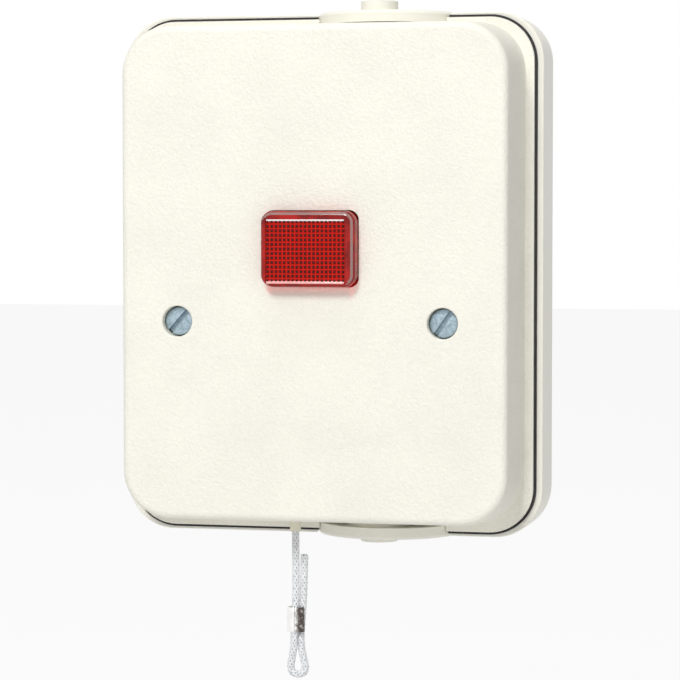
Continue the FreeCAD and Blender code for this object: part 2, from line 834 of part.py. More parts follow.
def tube(label, points, radius):
    """A round cord along a route."""
    path = rounded_path(points)
    first = Vector(*points[0])
    along = Vector(*points[1]) - first
    section = Part.Wire([Part.Circle(first, along, radius).toShape()])
    solid = path.makePipeShell([section], True, False)
    made = doc.addObject("Part::Feature", label)
    made.Shape = solid
    expected = math.pi * radius**2 * path.Length
    print(label, "length", round(path.Length, 2), "volume ratio", round(solid.Volume / expected, 4))
    finish(made, label)


def make_cord():
    tube("pull_cord", CORD_ROUTE, size.cord_radius.value)
    at_x, at_y = size.cord_across, cord_y
    ball = doc.addObject("Part::Sphere", "knot_ball")
    bind(ball, "Radius", size.knot_radius)
    put(ball, at_x, at_y, knot_face + 0.7 * size.knot_radius)
    reach = 2 * size.knot_radius
    below = box(
        "knot_below", (at_x - reach, at_x + reach), (at_y - reach, at_y + reach),
        (knot_face - reach, knot_face),
    )
    finish(cut("knot", ball, below), "cord_knot")
    foot_top = -size.bush_foot_face
    foot_low = foot_top - size.bush_foot_thick
    foot = rod("bush_foot", "Z", (at_x, at_y), size.bush_foot_radius, (foot_low, foot_top))
    spout = rod("bush_spout", "Z", (at_x, at_y), size.bush_radius, (-size.bush_tip, foot_low))
    bore = rod("bush_bore", "Z", (at_x, at_y), size.bush_bore, (-size.bush_tip - 1.0, foot_top + 1.0))
    finish(cut("bush", fuse("bush_solid", foot, spout), bore), "cord_bush")
    low = size.crimp_middle - size.crimp_long / 2
    high = size.crimp_middle + size.crimp_long / 2
    outer = flat_tube("crimp_outer", size.crimp_thick / 2, low, high)
    inner = flat_tube("crimp_inner", size.crimp_thick / 2 - size.crimp_wall, low - 1.0, high + 1.0)
    finish(cut("crimp", outer, inner), "crimp_ferrule")


def flat_tube(name, radius, low, high):
    """A flattened sleeve round two strands: two round ends and a block between them."""
    radius = as_size(radius)
    shift = size.crimp_wide / 2 - size.crimp_thick / 2
    at_y = cord_y + size.crimp_behind
    ends = [
        rod(f"{name}_{word}", "Z", (size.cord_across + side * shift, at_y), radius, (low, high))
        for side, word in ((1, "right"), (-1, "left"))
    ]
    across = (size.cord_across - shift, size.cord_across + shift)
    middle = box(f"{name}_middle", across, (at_y - radius, at_y + radius), (low, high))
    return fuse(name, middle, *ends)


# ---- switch block -----------------------------------------------------------------------------

def make_block():
    outside = box(
        "block_outside", (block_left, block_right),
        (-size.block_front, -size.block_back), (block_bottom, block_top),
    )
    chamber = box(
        "chamber", (chamber_left, chamber_right), (-size.block_front - 1.0, chamber_back),
        (spring_floor, block_top - size.block_wall),
    )
    pivot = (pivot_x, size.pivot_height)
    boss_front = cord_y + size.lever_thick / 2 + size.lever_gap
    boss = rod("pivot_boss", "Y", pivot, size.pin_radius * 2, (boss_front, chamber_back))
    half = size.slider_stem / 2 + 3.5
    guide_low = guide_top - size.guide_thick
    guide = box(
        "slider_guide", (nose_x - half, nose_x + half),
        (cord_y - size.slider_stem / 2 - 0.9, chamber_back), (guide_low, guide_top),
    )
    ledges = []
    for side in both:
        start = nose_x + side * (size.tip_spacing / 2 - size.tip_radius + 0.3)
        stop = chamber_right - terminal_room if side > 0 else chamber_left + terminal_room
        span = (start, stop) if side > 0 else (stop, start)
        ledges.append(box(
            f"contact_ledge_{'right' if side > 0 else 'left'}", span,
            (cord_y - size.bridge_wide / 2 - 0.5, chamber_back),
            (fixed_strip_low - size.terminal_bore, fixed_strip_low),
        ))
    hole = size.slider_stem / 2 + size.guide_play
    guide_hole = box(
        "guide_hole", (nose_x - hole, nose_x + hole), (cord_y - hole, cord_y + hole),
        (guide_low - 1.0, guide_top + 1.0),
    )
    swing = size.cord_travel / 2 + size.lever_half
    lever_slot = box(
        "lever_slot", (chamber_right - 1.0, block_right + 1.0),
        (-size.block_front - 1.0, cord_y + size.eye_half + 0.4),
        (size.pivot_height - swing, size.pivot_height + swing),
    )
    pin_hole = rod("pin_seat", "Y", pivot, size.pin_radius, (-size.block_front, pin_back))
    wire_holes = [
        rod(f"wire_hole_{n}", "Z", (across, terminal_y), size.terminal_bore + 0.4,
            (block_bottom - 1.0, spring_floor + 0.1))
        for n, across in enumerate(terminal_places, 1)
    ]
    screw_holes = [
        rod(f"block_screw_hole_{n}", "Y", place, size.block_screw_radius + size.screw_gap,
            (chamber_back - 1.0, -size.block_back + 1.0))
        for n, place in enumerate(block_screws, 1)
    ]
    shell = cut("block_shell", outside, chamber)
    solid = fuse("block_solid", shell, boss, guide, *ledges)
    tools = [guide_hole, lever_slot, pin_hole, *wire_holes, *screw_holes]
    finish(cut("block", solid, *tools), "switch_block")


def make_block_plate():
    y = (-(size.block_front + size.plate_thick), -size.block_front)
    up = (size.pivot_height - size.plate_below_pivot, block_top)
    plate = box("plate", (block_left, block_right), y, up)
    hole = rod(
        "plate_pin_hole", "Y", (pivot_x, size.pivot_height), size.pin_radius + size.thread_fit,
        (y[0] - 1.0, y[1] + 1.0),
    )
    finish(cut("block_plate_cut", plate, hole), "switch_block_plate")


def make_block_fasteners():
    screws = [
        slotted_screw(
            f"block_screw_{n}", size.block_screw_head, 1.6, size.block_screw_radius,
            size.block_screw_long, 0.7, 0.8, (place[0], chamber_back, place[1]), turn,
        )
        for n, (place, turn) in enumerate(zip(block_screws, (20, 70)), 1)
    ]
    group("block_screw_group", "switch_block_screws", screws)
    pin_front = -(size.block_front + size.plate_thick)
    at = (pivot_x, size.pivot_height)
    finish(rod("pin", "Y", at, size.pin_radius, (pin_front, pin_back)), "lever_pin")


def make_lever():
    hub = rod("lever_hub", "Y", (0, 0), size.hub_radius, (-size.lever_thick / 2, size.lever_thick / 2))
    end = size.lever_reach + size.eye_end
    half, thick = size.lever_half, size.lever_thick / 2
    arm = box("lever_arm", (0, end), (-thick, thick), (-half, half))
    eye = box(
        "lever_eye", (size.lever_reach - size.eye_end, end), (-size.eye_half, size.eye_half), (-half, half)
    )
    nose = rod("lever_nose", "Y", (size.nose_reach, 0), size.nose_radius, (-thick, thick))
    slot = box(
        "lever_cord_slot",
        (size.lever_reach - size.eye_long / 2, size.lever_reach + size.eye_long / 2),
        (-size.eye_wide / 2, size.eye_wide / 2), (-half - 1.0, half + 1.0),
    )
    bore_radius = size.pin_radius + size.pin_play
    bore = rod("lever_bore", "Y", (0, 0), bore_radius, (-thick - 1.0, thick + 1.0))
    lever = cut("lever", fuse("lever_solid", hub, arm, eye, nose), slot, bore)
    tilt = angle_of_sine(lever_slope)
    lever.Placement = Placement(Vector(), Rotation(Vector(0, -1, 0), tilt.value))
    bind(lever, "Placement.Rotation.Angle", tilt)
    put(lever, pivot_x, cord_y, size.pivot_height)
    finish(lever, "pull_lever")


def around_slider(half_x, half_y):
    return (nose_x - half_x, nose_x + half_x), (cord_y - half_y, cord_y + half_y)


def make_slider():
    half = size.slider_pad / 2
    pad_low = slider_top - size.slider_pad_thick
    stem_half = size.slider_stem / 2
    carriage_half = size.carriage_wide / 2
    at = (nose_x, cord_y)
    head = box("slider_head", *around_slider(half, half - 0.5), (pad_low, slider_top))
    stem = box("slider_stem_block", *around_slider(stem_half, stem_half), (carriage_top, pad_low))
    carriage = box(
        "carriage", *around_slider(stem_half, carriage_half), (carriage_low, carriage_top)
    )
    foot = rod("carriage_foot_disc", "Z", at, carriage_half, (carriage_low, window_low))
    tail = rod("slider_tail", "Z", at, size.tail_radius, (carriage_low - size.tail_long, carriage_low))
    window = box(
        "carriage_window", *around_slider(carriage_half, size.window_wide / 2),
        (window_low, carriage_top),
    )
    solid = fuse("slider_solid", head, stem, carriage, foot, tail)
    finish(cut("slider", solid, window), "contact_slider")


def make_contacts():
    strip_top = window_low + size.strip_thick
    half_wide = size.bridge_wide / 2
    bridge = box("bridge_strip", *around_slider(size.bridge_long / 2, half_wide), (window_low, strip_top))
    tips = []
    fixed = []
    for side, word in ((1, "right"), (-1, "left")):
        at = (nose_x + side * size.tip_spacing / 2, cord_y)
        tips.append(rod(f"bridge_tip_{word}", "Z", at, size.tip_radius, (tip_low, window_low)))
        start = nose_x + side * (size.tip_spacing / 2 - size.tip_radius - 0.3)
        stop = chamber_right - 0.1 if side > 0 else chamber_left + 0.1
        span = (start, stop) if side > 0 else (stop, start)
        strip = box(
            f"fixed_strip_{word}", span, (cord_y - half_wide, cord_y + half_wide),
            (fixed_strip_low, fixed_strip_top),
        )
        tip = rod(f"fixed_tip_{word}", "Z", at, size.tip_radius, (fixed_strip_top, fixed_tip_top))
        fixed.append(fuse(f"fixed_contact_{word}", strip, tip))
    finish(fuse("bridge", bridge, *tips), "moving_contact")
    group("fixed_contact_group", "fixed_contacts", fixed)


def coil(label, radius, wire, turns, low, high):
    """A round-wire compression spring about the slider's axis, between two heights."""
    body = new_body(f"{label}_body")
    put(body, nose_x, cord_y, as_size(low) + as_size(wire) / 2)
    section = body.newObject("Sketcher::SketchObject", f"{label}_section")
    plane = [feature for feature in body.Origin.OriginFeatures if feature.Role == "XZ_Plane"][0]
    section.AttachmentSupport = [(plane, "")]
    section.MapMode = "FlatFace"
    circle_at(section, radius, 0, wire / 2)
    doc.recompute()
    spring = body.newObject("PartDesign::AdditiveHelix", f"{label}_helix")
    spring.Profile = section
    spring.ReferenceAxis = (section, ["V_Axis"])
    spring.Mode = "height-turns-angle"
    bind(spring, "Height", as_size(high) - low - wire)
    bind(spring, "Turns", turns)
    finish(body, label)


def make_springs():
    coil(
        "return_spring", size.return_coil, size.return_wire, size.return_turns,
        spring_floor, carriage_low,
    )
    coil(
        "contact_spring", size.contact_coil, size.contact_wire, size.contact_turns,
        window_low + size.strip_thick, carriage_top,
    )


def make_terminals():
    blocks = []
    screws = []
    y = (-size.terminal_front, -size.terminal_back)
    middle = (spring_floor + fixed_strip_low) / 2
    for number, (across, turn) in enumerate(zip(terminal_places, (35, 100)), 1):
        half = size.terminal_wide / 2
        solid = box(f"terminal_block_{number}", (across - half, across + half), y,
                    (spring_floor, fixed_strip_low))
        wire_end = fixed_strip_low - 1.0
        wire = rod(f"terminal_wire_{number}", "Z", (across, terminal_y), size.terminal_bore,
                   (spring_floor - 1.0, wire_end))
        thread = rod(f"terminal_thread_{number}", "Y", (across, middle),
                     size.terminal_screw + size.thread_fit, (y[0] - 1.0, terminal_y))
        blocks.append(cut(f"terminal_{number}", solid, wire, thread))
        screws.append(slotted_screw(
            f"terminal_screw_{number}", size.terminal_head, 1.2, size.terminal_screw,
            size.terminal_screw_long - size.terminal_bore - 1.3, 0.6, 0.7, (across, y[0], middle), turn,
        ))
    group("terminal_group", "terminals", blocks)
    group("terminal_screw_group", "terminal_screws", screws)


# ---- lamp -------------------------------------------------------------------------------------

def make_lamp():
    up = size.lens_middle
    half_wide = size.socket_foot_wide / 2
    half_high = size.socket_foot_high / 2
    foot_front = size.socket_back + size.socket_foot_thick
    foot = box("socket_foot", (-half_wide, half_wide), (-foot_front, -size.socket_back),
               (up - half_high, up + half_high))
    barrel = rod("socket_barrel", "Y", (0, up), size.socket_radius, (-size.socket_front, -size.socket_back))
    cap_back = size.socket_front - size.cap_long
    well = rod("socket_well", "Y", (0, up), size.cap_radius + size.pin_play,
               (-size.socket_front - 1.0, -cap_back))
    holes = [
        rod(f"socket_hole_{n}", "Y", (across, up), size.block_screw_radius + size.screw_gap,
            (-foot_front - 20.0, -size.socket_back + 1.0))
        for n, across in enumerate(socket_screws, 1)
    ]
    finish(cut("socket", fuse("socket_solid", foot, barrel), well, *holes), "lamp_socket")
    screws = [
        slotted_screw(
            f"socket_screw_{n}", size.block_screw_head, 1.6, size.block_screw_radius,
            size.socket_foot_thick + 3.0, 0.7, 0.8, (across, -foot_front, up), turn,
        )
        for n, (across, turn) in enumerate(zip(socket_screws, (15, 120)), 1)
    ]
    group("socket_screw_group", "socket_screws", screws)
    finish(
        rod("cap", "Y", (0, up), size.cap_radius, (-size.socket_front, -cap_back)), "lamp_cap"
    )
    shoulder = size.bulb_front - size.bulb_radius
    glass = rod("bulb_glass", "Y", (0, up), size.bulb_radius, (-shoulder, -size.socket_front))
    dome = doc.addObject("Part::Sphere", "bulb_dome")
    bind(dome, "Radius", size.bulb_radius)
    put(dome, 0, -shoulder, up)
    finish(fuse("bulb", glass, dome), "lamp_bulb")


LEAD_ROUTES = {
    "lamp_lead_front": [
        (-4.5, -14.0, 0.9),
        (-5.1, -14.1, -3.6),
        (-10.4, -14.6, -6.4),
        (-17.0, -15.0, -8.4),
        (-17.0, -15.0, -15.5),
    ],
    "lamp_lead_back": [
        (4.5, -10.0, 0.9),
        (4.9, -10.1, -5.4),
        (-1.8, -10.4, -9.8),
        (-10.2, -10.9, -10.6),
        (-20.6, -11.3, -9.2),
        (-20.6, -11.3, -15.5),
    ],
}


def make_leads():
    for label, route in LEAD_ROUTES.items():
        tube(label, route, size.lead_radius.value)


make_base()
make_seal()
make_cover()
make_grommet(1, size.nipple_long, "top_entry_grommet")
make_grommet(-1, size.low_nipple_long, "bottom_entry_grommet")
make_lens()
make_lens_clip()
make_cover_fasteners()
make_cord()
make_block()
make_block_plate()
make_block_fasteners()
make_lever()
make_slider()
make_contacts()
make_springs()
make_terminals()
make_lamp()
make_leads()
doc.recompute()

for thing in doc.Objects:
    if "Invalid" in thing.State or "Error" in thing.State:
        raise RuntimeError(f"{thing.Name} failed: {thing.State}")
for label, thing in parts.items():
    if thing.Shape.isNull() or not thing.Shape.isValid():
        raise RuntimeError(f"{label} has no valid shape")

os.makedirs("parts", exist_ok=True)
for label, thing in parts.items():
    thing.Shape.exportStep(f"parts/{label}.step")
    print(label, len(thing.Shape.Solids), round(thing.Shape.Volume, 1))
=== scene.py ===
import math

import bmesh
import bpy
from mathutils import Matrix, Vector


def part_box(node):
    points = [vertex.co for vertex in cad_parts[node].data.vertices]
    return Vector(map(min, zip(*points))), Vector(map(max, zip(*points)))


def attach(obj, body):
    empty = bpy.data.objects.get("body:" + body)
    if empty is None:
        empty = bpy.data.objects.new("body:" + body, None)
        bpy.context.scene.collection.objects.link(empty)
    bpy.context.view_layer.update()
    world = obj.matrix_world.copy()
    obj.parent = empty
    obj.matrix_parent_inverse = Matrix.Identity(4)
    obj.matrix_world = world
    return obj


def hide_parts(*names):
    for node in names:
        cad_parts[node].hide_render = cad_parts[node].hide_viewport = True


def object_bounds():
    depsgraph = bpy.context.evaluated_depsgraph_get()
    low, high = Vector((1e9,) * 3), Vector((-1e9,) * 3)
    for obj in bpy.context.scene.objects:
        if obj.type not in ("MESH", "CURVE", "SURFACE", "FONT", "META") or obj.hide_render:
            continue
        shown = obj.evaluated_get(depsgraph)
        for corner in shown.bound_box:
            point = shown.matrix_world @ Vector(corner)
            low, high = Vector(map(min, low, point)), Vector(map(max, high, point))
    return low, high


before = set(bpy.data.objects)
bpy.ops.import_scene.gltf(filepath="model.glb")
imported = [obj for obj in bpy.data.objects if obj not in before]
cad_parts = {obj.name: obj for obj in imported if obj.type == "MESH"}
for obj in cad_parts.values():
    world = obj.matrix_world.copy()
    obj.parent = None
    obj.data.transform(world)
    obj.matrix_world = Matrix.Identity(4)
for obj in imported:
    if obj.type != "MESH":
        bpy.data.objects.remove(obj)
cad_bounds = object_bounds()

MM = 0.001

# ---- camera -----------------------------------------------------------------------------------

VIEW_TURN = math.radians(13.5)
VIEW_DROP = math.radians(2.703)
VIEW_DISTANCE = 0.5865
VIEW_AIM = Vector((0.00654, -0.0322, -0.01384))
LENS_MM = 141.9
SENSOR_MM = 36
CLIP_START = 0.01


def make_camera():
    camera = bpy.data.objects.new("camera", bpy.data.cameras.new("camera"))
    bpy.context.scene.collection.objects.link(camera)
    back = Vector((
        math.sin(VIEW_TURN) * math.cos(VIEW_DROP),
        -math.cos(VIEW_TURN) * math.cos(VIEW_DROP),
        math.sin(VIEW_DROP),
    ))
    camera.location = VIEW_AIM + back * VIEW_DISTANCE
    camera.rotation_euler = (math.pi / 2 - VIEW_DROP, 0, VIEW_TURN)
    camera.data.lens = LENS_MM
    camera.data.sensor_width = SENSOR_MM
    camera.data.clip_start = CLIP_START
    bpy.context.scene.camera = camera


make_camera()

# ---- materials: nodes shared by every finish --------------------------------------------------


def new_material(name):
    """A material with its shader, and the piece's own coordinates in metres."""
    made = bpy.data.materials.new(name)
    made.use_nodes = True
    shader = made.node_tree.nodes["Principled BSDF"]
    where = made.node_tree.nodes.new("ShaderNodeTexCoord").outputs["Object"]
    return made, shader, where


def node(made, kind, inputs=(), **settings):
    """Add a node; inputs are pairs of socket and a value or another node's output."""
    added = made.node_tree.nodes.new(kind)
    for key, value in settings.items():
        setattr(added, key, value)
    for socket, value in inputs:
        if isinstance(value, bpy.types.NodeSocket):
            made.node_tree.links.new(value, added.inputs[socket])
        else:
            added.inputs[socket].default_value = value
    return added


def noise(made, where, size, detail=3.0, stretch=(1, 1, 1)):
    """Noise whose patches are about `size` metres across, drawn out along an axis by stretch."""
    spot = node(made, "ShaderNodeMapping", [("Vector", where), ("Scale", [1 / s for s in stretch])])
    inputs = [("Vector", spot.outputs[0]), ("Scale", 1 / size), ("Detail", detail)]
    return node(made, "ShaderNodeTexNoise", inputs).outputs["Fac"]


def cells(made, where, size):
    inputs = [("Vector", where), ("Scale", 1 / size)]
    return node(made, "ShaderNodeTexVoronoi", inputs).outputs["Distance"]


def blend_colours(made, amount, low, high, start=0.35, stop=0.65):
    """A colour that goes from low to high as amount goes from start to stop."""
    ramp = node(made, "ShaderNodeValToRGB", [("Fac", amount)])
    ends = ramp.color_ramp.elements
    for end, place, colour in ((ends[0], start, low), (ends[1], stop, high)):
        end.position = place
        end.color = (*colour, 1)
    return ramp.outputs["Color"]


def span(made, amount, low, high, start=0.3, stop=0.7):
    """A number that goes from low to high as amount goes from start to stop."""
    inputs = [(0, amount), (1, start), (2, stop), (3, low), (4, high)]
    return node(made, "ShaderNodeMapRange", inputs).outputs[0]


def sums(made, *terms):
    """The sum of several pairs of pattern and weight."""
    total = 0.0
    for pattern, weight in terms:
        inputs = [(0, pattern), (1, weight), (2, total)]
        total = node(made, "ShaderNodeMath", inputs, operation="MULTIPLY_ADD").outputs[0]
    return total


def set_finish(made, shader, colour, roughness, height, depth):
    """Join the colour, roughness and relief patterns to the shader; depth is in metres."""
    link = made.node_tree.links.new
    link(colour, shader.inputs["Base Color"])
    link(roughness, shader.inputs["Roughness"])
    relief = node(made, "ShaderNodeBump", [("Height", height), ("Distance", depth)])
    link(relief.outputs[0], shader.inputs["Normal"])
    return relief


def shade_of(colour, factor):
    return [channel * factor for channel in colour]


# ---- materials: the switch's own finishes -----------------------------------------------------

CREAM = (0.885, 0.866, 0.772)


def pebbled_moulding(name, colour):
    """Cream plastic with the fine pebbled skin of the cover."""
    made, shader, where = new_material(name)
    pebbles = noise(made, where, 0.42 * MM, 2.0)
    pits = cells(made, where, 0.75 * MM)
    broad = noise(made, where, 14 * MM)
    specks = noise(made, where, 0.55 * MM, 4.0)
    tint = sums(made, (broad, 0.5), (specks, 0.5))
    colours = blend_colours(made, tint, shade_of(colour, 0.94), shade_of(colour, 1.015))
    rough = span(made, pebbles, 0.42, 0.6)
    set_finish(made, shader, colours, rough, sums(made, (pebbles, 0.7), (pits, 0.4)), 0.16 * MM)
    shader.inputs["Specular IOR Level"].default_value = 0.42
    return made


def smooth_moulding(name, colour, rough=(0.3, 0.42), skin=0.012):
    """Plain moulded plastic: a faint orange-peel skin, flow marks and dull patches."""
    made, shader, where = new_material(name)
    peel = noise(made, where, 1.3 * MM, 2.0)
    flow = noise(made, where, 9 * MM, 4.0, (1, 1, 2.5))
    grain = noise(made, where, 0.2 * MM, 2.0)
    colours = blend_colours(made, flow, shade_of(colour, 0.955), shade_of(colour, 1.01))
    relief = sums(made, (peel, 0.8), (grain, 0.2))
    set_finish(made, shader, colours, span(made, flow, *rough), relief, skin * MM)
    return made


def soft_rubber(name, colour):
    made, shader, where = new_material(name)
    bloom = noise(made, where, 3 * MM, 5.0)
    grain = noise(made, where, 0.3 * MM, 3.0)
    colours = blend_colours(made, bloom, shade_of(colour, 0.75), shade_of(colour, 1.5))
    set_finish(made, shader, colours, span(made, grain, 0.6, 0.8), grain, 0.03 * MM)
    return made


def worked_metal(name, colour, rough=(0.22, 0.42), marks=(1, 1, 1), stain=0.72, mark_size=0.5):
    """Metal with fine tool marks drawn along one axis, and slightly stained patches."""
    made, shader, where = new_material(name)
    shader.inputs["Metallic"].default_value = 1.0
    scratches = noise(made, where, mark_size * MM, 5.0, marks)
    stains = noise(made, where, 2.2 * MM, 4.0)
    mixed = sums(made, (scratches, 0.4), (stains, 0.6))
    colours = blend_colours(made, mixed, shade_of(colour, stain), colour)
    set_finish(made, shader, colours, span(made, scratches, *rough), scratches, 0.02 * MM)
    return made


def zinc_plate(name):
    """Blue-passivated zinc: a dull crystalline bloom with greyer and greener patches."""
    made, shader, where = new_material(name)
    shader.inputs["Metallic"].default_value = 0.55
    bloom = cells(made, where, 0.5 * MM)
    patches = noise(made, where, 0.8 * MM, 5.0)
    mixed = sums(made, (bloom, 0.3), (patches, 0.7))
    colours = blend_colours(made, mixed, (0.22, 0.31, 0.36), (0.42, 0.53, 0.6), 0.3, 0.6)
    set_finish(made, shader, colours, span(made, patches, 0.32, 0.5), patches, 0.04 * MM)
    return made


def let_red_light_through(made, shader):
    """Colour the light that reaches the cover through the lens."""
    tinted = node(made, "ShaderNodeBsdfTransparent")
    tinted.inputs["Color"].default_value = (0.85, 0.07, 0.05, 1)
    path = node(made, "ShaderNodeLightPath")
    mix = node(made, "ShaderNodeMixShader")
    link = made.node_tree.links.new
    link(path.outputs["Is Shadow Ray"], mix.inputs[0])
    link(shader.outputs[0], mix.inputs[1])
    link(tinted.outputs[0], mix.inputs[2])
    link(mix.outputs[0], made.node_tree.nodes["Material Output"].inputs["Surface"])


def red_lens(name):
    """Deep red glossy plastic, brighter where the clouds in it scatter light."""
    made, shader, where = new_material(name)
    haze = noise(made, where, 3.5 * MM, 3.0)
    colours = blend_colours(made, haze, (0.2, 0.009, 0.008), (0.42, 0.016, 0.012))
    ripple = noise(made, where, 2.5 * MM, 1.0)
    set_finish(made, shader, colours, span(made, haze, 0.1, 0.16), ripple, 0.006 * MM)
    shader.inputs["Specular IOR Level"].default_value = 0.22
    let_red_light_through(made, shader)
    return made


def red_prisms(name):
    """The moulded red back of the lens, with painted light and shade: bright painted flanks and each
    prism's tip painted dark.
    """
    made, shader, where = new_material(name)
    parts = node(made, "ShaderNodeAttribute", attribute_name="tip").outputs["Fac"]
    clouds = noise(made, where, 3.5 * MM, 4.0)
    # painted shade at the prism tips and painted light on the flanks, set by tip depth
    tip = sums(made, (parts, 0.9), (clouds, 0.3))
    colours = blend_colours(made, tip, (0.6, 0.02, 0.012), (0.07, 0.014, 0.013), 0.3, 0.8)
    set_finish(made, shader, colours, span(made, clouds, 0.35, 0.5), clouds, 0.01 * MM)
    shader.inputs["Specular IOR Level"].default_value = 0.12
    let_red_light_through(made, shader)
    return made


def clear_glass(name, colour, alpha):
    made, shader, where = new_material(name)
    seeds = noise(made, where, 1.6 * MM, 3.0)
    colours = blend_colours(made, seeds, shade_of(colour, 0.95), colour)
    set_finish(made, shader, colours, span(made, seeds, 0.03, 0.07), seeds, 0.008 * MM)
    shader.inputs["Alpha"].default_value = alpha
    shader.inputs["Specular IOR Level"].default_value = 0.6
    return made


def braid_fibre(name):
    """White thread whose low tones are painted shade: the greyer carriers and the core go dark blue-grey
    between the threads; filaments run along each strand, by the strand's own map.
    """
    made, shader, where = new_material(name)
    around = node(made, "ShaderNodeUVMap", uv_map="strand").outputs[0]
    filaments = noise(made, around, 0.11, 3.0, (1, 12, 1))
    shade = node(made, "ShaderNodeAttribute", attribute_name="thread").outputs["Fac"]
    soil = noise(made, where, 4 * MM, 4.0)
    # painted shade: low thread tones blend to the dark blue-grey end of the ramp
    mixed = sums(made, (shade, 0.55), (filaments, 0.3), (soil, 0.15))
    colours = blend_colours(made, mixed, (0.13, 0.18, 0.23), (0.86, 0.875, 0.89), 0.1, 0.55)
    set_finish(made, shader, colours, span(made, filaments, 0.5, 0.75), filaments, 0.03 * MM)
    shader.inputs["Sheen Weight"].default_value = 0.25
    return made


def tin_painted_dark_side(name, across, width):
    """Bright tin strip, painted darker and browner towards its right-hand fold as a painted dark
    reflection, and duller there.
    """
    made, shader, where = new_material(name)
    place = node(made, "ShaderNodeSeparateXYZ", [("Vector", where)]).outputs["X"]
    # painted shade: the colour darkens with X across the strip, towards its right-hand side
    side = span(made, place, 0.0, 1.0, across - width, across + width)
    patches = noise(made, where, 0.7 * MM, 5.0)
    mixed = sums(made, (side, 0.5), (patches, 0.9))
    colours = blend_colours(made, mixed, (0.93, 0.92, 0.9), (0.1, 0.08, 0.07), 0.56, 0.95)
    set_finish(made, shader, colours, span(made, mixed, 0.25, 0.55), patches, 0.05 * MM)
    shader.inputs["Metallic"].default_value = 0.8
    return made


MATERIALS = {
    "cover": pebbled_moulding("cover_pebbled_cream", CREAM),
    "base": smooth_moulding("base_satin_cream", CREAM),
    "entry": smooth_moulding("entry_soft_cream", shade_of(CREAM, 0.985), (0.4, 0.55)),
    "seal": soft_rubber("seal_black_rubber", (0.018, 0.017, 0.018)),
    "washer": soft_rubber("washer_rubber", (0.03, 0.03, 0.032)),
    "lens": red_lens("lens_clear_red"),
    "prism": red_prisms("lens_prism_red_painted_light_shade"),
    # painted highlight on the lens's upper and right-hand fillet
    "lens painted glint": smooth_moulding("lens_edge_painted_glint", (0.3, 0.17, 0.155), (0.08, 0.15), 0.004),
    # painted highlights: the window's edge beads, white on top and pink below
    "top bead": smooth_moulding("lens_bead_painted_highlight_white", (0.95, 0.9, 0.9), (0.1, 0.2), 0.003),
    "bottom bead": smooth_moulding("lens_bead_painted_highlight_pink", (0.9, 0.45, 0.42), (0.1, 0.2), 0.003),
    "zinc": zinc_plate("screw_blue_zinc"),
    "steel": worked_metal("clip_rolled_steel", (0.6, 0.6, 0.61), marks=(6, 1, 1)),
    "pin": worked_metal("pin_ground_steel", (0.62, 0.62, 0.64), (0.12, 0.25), (1, 8, 1)),
    "spring": worked_metal("spring_drawn_wire", (0.5, 0.5, 0.53), (0.2, 0.35), (1, 1, 1), 0.6, 0.2),
    "brass": worked_metal("insert_turned_brass", (0.8, 0.6, 0.3), (0.2, 0.38), (5, 1, 5)),
    "terminal": worked_metal("terminal_milled_brass", (0.76, 0.58, 0.31), (0.25, 0.45), (1, 6, 1)),
    "contact": worked_metal("contact_stamped_brass", (0.83, 0.66, 0.42), (0.18, 0.32), (7, 1, 1)),
    "cord": braid_fibre("cord_braided_thread_painted_shade"),
    "bush": smooth_moulding("bush_cream_nylon", (0.8, 0.765, 0.62), (0.35, 0.5)),
    "block": smooth_moulding("block_black_phenolic", (0.03, 0.029, 0.03), (0.35, 0.55), 0.03),
    "plate": smooth_moulding("block_plate_grey", (0.06, 0.06, 0.063), (0.4, 0.55), 0.03),
    "lever": smooth_moulding("lever_natural_nylon", (0.7, 0.67, 0.58), (0.35, 0.5)),
    "slider": smooth_moulding("slider_orange_moulding", (0.55, 0.12, 0.045), (0.35, 0.5)),
    "socket": smooth_moulding("socket_brown_phenolic", (0.05, 0.032, 0.022), (0.25, 0.4), 0.02),
    "cap": worked_metal("lamp_cap_nickel", (0.72, 0.68, 0.6), (0.15, 0.3), (1, 4, 1)),
    "glass": clear_glass("bulb_clear_glass", (0.85, 0.86, 0.86), 0.25),
    "red lead": smooth_moulding("lead_red_sleeve", (0.5, 0.03, 0.025), (0.3, 0.4)),
    "black lead": smooth_moulding("lead_black_sleeve", (0.022, 0.022, 0.024), (0.3, 0.4)),
}

NODE_FINISHES = {
    "base_box": "base",
    "cover_seal": "seal",
    "front_cover": "cover",
    "top_entry_grommet": "entry",
    "bottom_entry_grommet": "entry",
    "indicator_lens": "lens",
    "lens_clip": "steel",
    "cover_screws": "zinc",
    "sealing_washers": "washer",
    "threaded_inserts": "brass",
    "pull_cord": "cord",
    "cord_knot": "cord",
    "cord_bush": "bush",
    "crimp_ferrule": "steel",
    "switch_block": "block",
    "switch_block_plate": "plate",
    "switch_block_screws": "steel",
    "lever_pin": "pin",
    "pull_lever": "lever",
    "contact_slider": "slider",
    "moving_contact": "contact",
    "fixed_contacts": "contact",
    "return_spring": "spring",
    "contact_spring": "spring",
    "terminals": "terminal",
    "terminal_screws": "steel",
    "lamp_socket": "socket",
    "socket_screws": "steel",
    "lamp_cap": "cap",
    "lamp_bulb": "glass",
    "lamp_lead_front": "red lead",
    "lamp_lead_back": "black lead",
}


def give(piece, finish):
    piece.data.materials.clear()
    piece.data.materials.append(MATERIALS[finish])


for name, finish in NODE_FINISHES.items():
    give(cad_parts[name], finish)

# ---- shared steps -----------------------------------------------------------------------------


def take(piece):
    """Make a piece the only selected one, and the active one."""
    if bpy.context.mode != "OBJECT":
        bpy.ops.object.mode_set(mode="OBJECT")
    bpy.ops.object.select_all(action="DESELECT")
    piece.select_set(True)
    bpy.context.view_layer.objects.active = piece


